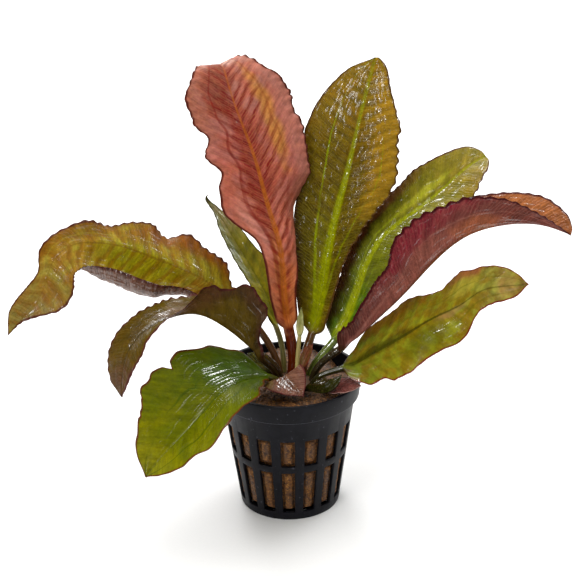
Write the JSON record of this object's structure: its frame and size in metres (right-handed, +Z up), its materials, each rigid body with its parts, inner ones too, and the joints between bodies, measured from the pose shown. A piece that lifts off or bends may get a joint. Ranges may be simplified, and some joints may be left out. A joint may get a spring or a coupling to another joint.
{
  "type": "potted echinodorus",
  "caption": "Aquarium sword plant with broad ruffled red, bronze and green leaves, rooted in mineral wool in a black slotted net pot.",
  "frame": {"origin": "centre of the pot's underside, on the surface that the pot stands on", "axes": "+Z up along the pot's axis; +X along the plant's widest spread, from the arching olive leaf towards the long purple leaf; the picture looks along +Y"},
  "size_m": [0.2001, 0.1097, 0.1583],
  "materials": {
    "pot": "satin",
    "growing_medium": "matte",
    "crown": "matte",
    "leaf_red_upright": "satin",
    "leaf_bronze_upright": "satin",
    "leaf_green_right": "satin",
    "leaf_purple_right": "satin",
    "leaf_lime_low_right": "satin",
    "leaf_slender_back": "satin",
    "leaf_olive_left": "satin",
    "leaf_dark_left": "satin",
    "leaf_front_left": "satin",
    "leaf_folded_front": "satin",
    "leaf_cupped_front": "satin",
    "leaf_small_left": "satin",
    "leaf_red_rim": "satin",
    "leaf_young_blade": "satin",
    "leaf_pink_bud": "satin"
  },
  "bodies": {
    "root": {"pot": "pot", "growing_medium": "growing_medium", "crown": "crown", "leaf_red_upright": "leaf_red_upright", "leaf_bronze_upright": "leaf_bronze_upright", "leaf_green_right": "leaf_green_right", "leaf_purple_right": "leaf_purple_right", "leaf_lime_low_right": "leaf_lime_low_right", "leaf_slender_back": "leaf_slender_back", "leaf_olive_left": "leaf_olive_left", "leaf_dark_left": "leaf_dark_left", "leaf_front_left": "leaf_front_left", "leaf_folded_front": "leaf_folded_front", "leaf_cupped_front": "leaf_cupped_front", "leaf_small_left": "leaf_small_left", "leaf_red_rim": "leaf_red_rim", "leaf_young_blade": "leaf_young_blade", "leaf_pink_bud": "leaf_pink_bud"}
  },
  "joints": []
}
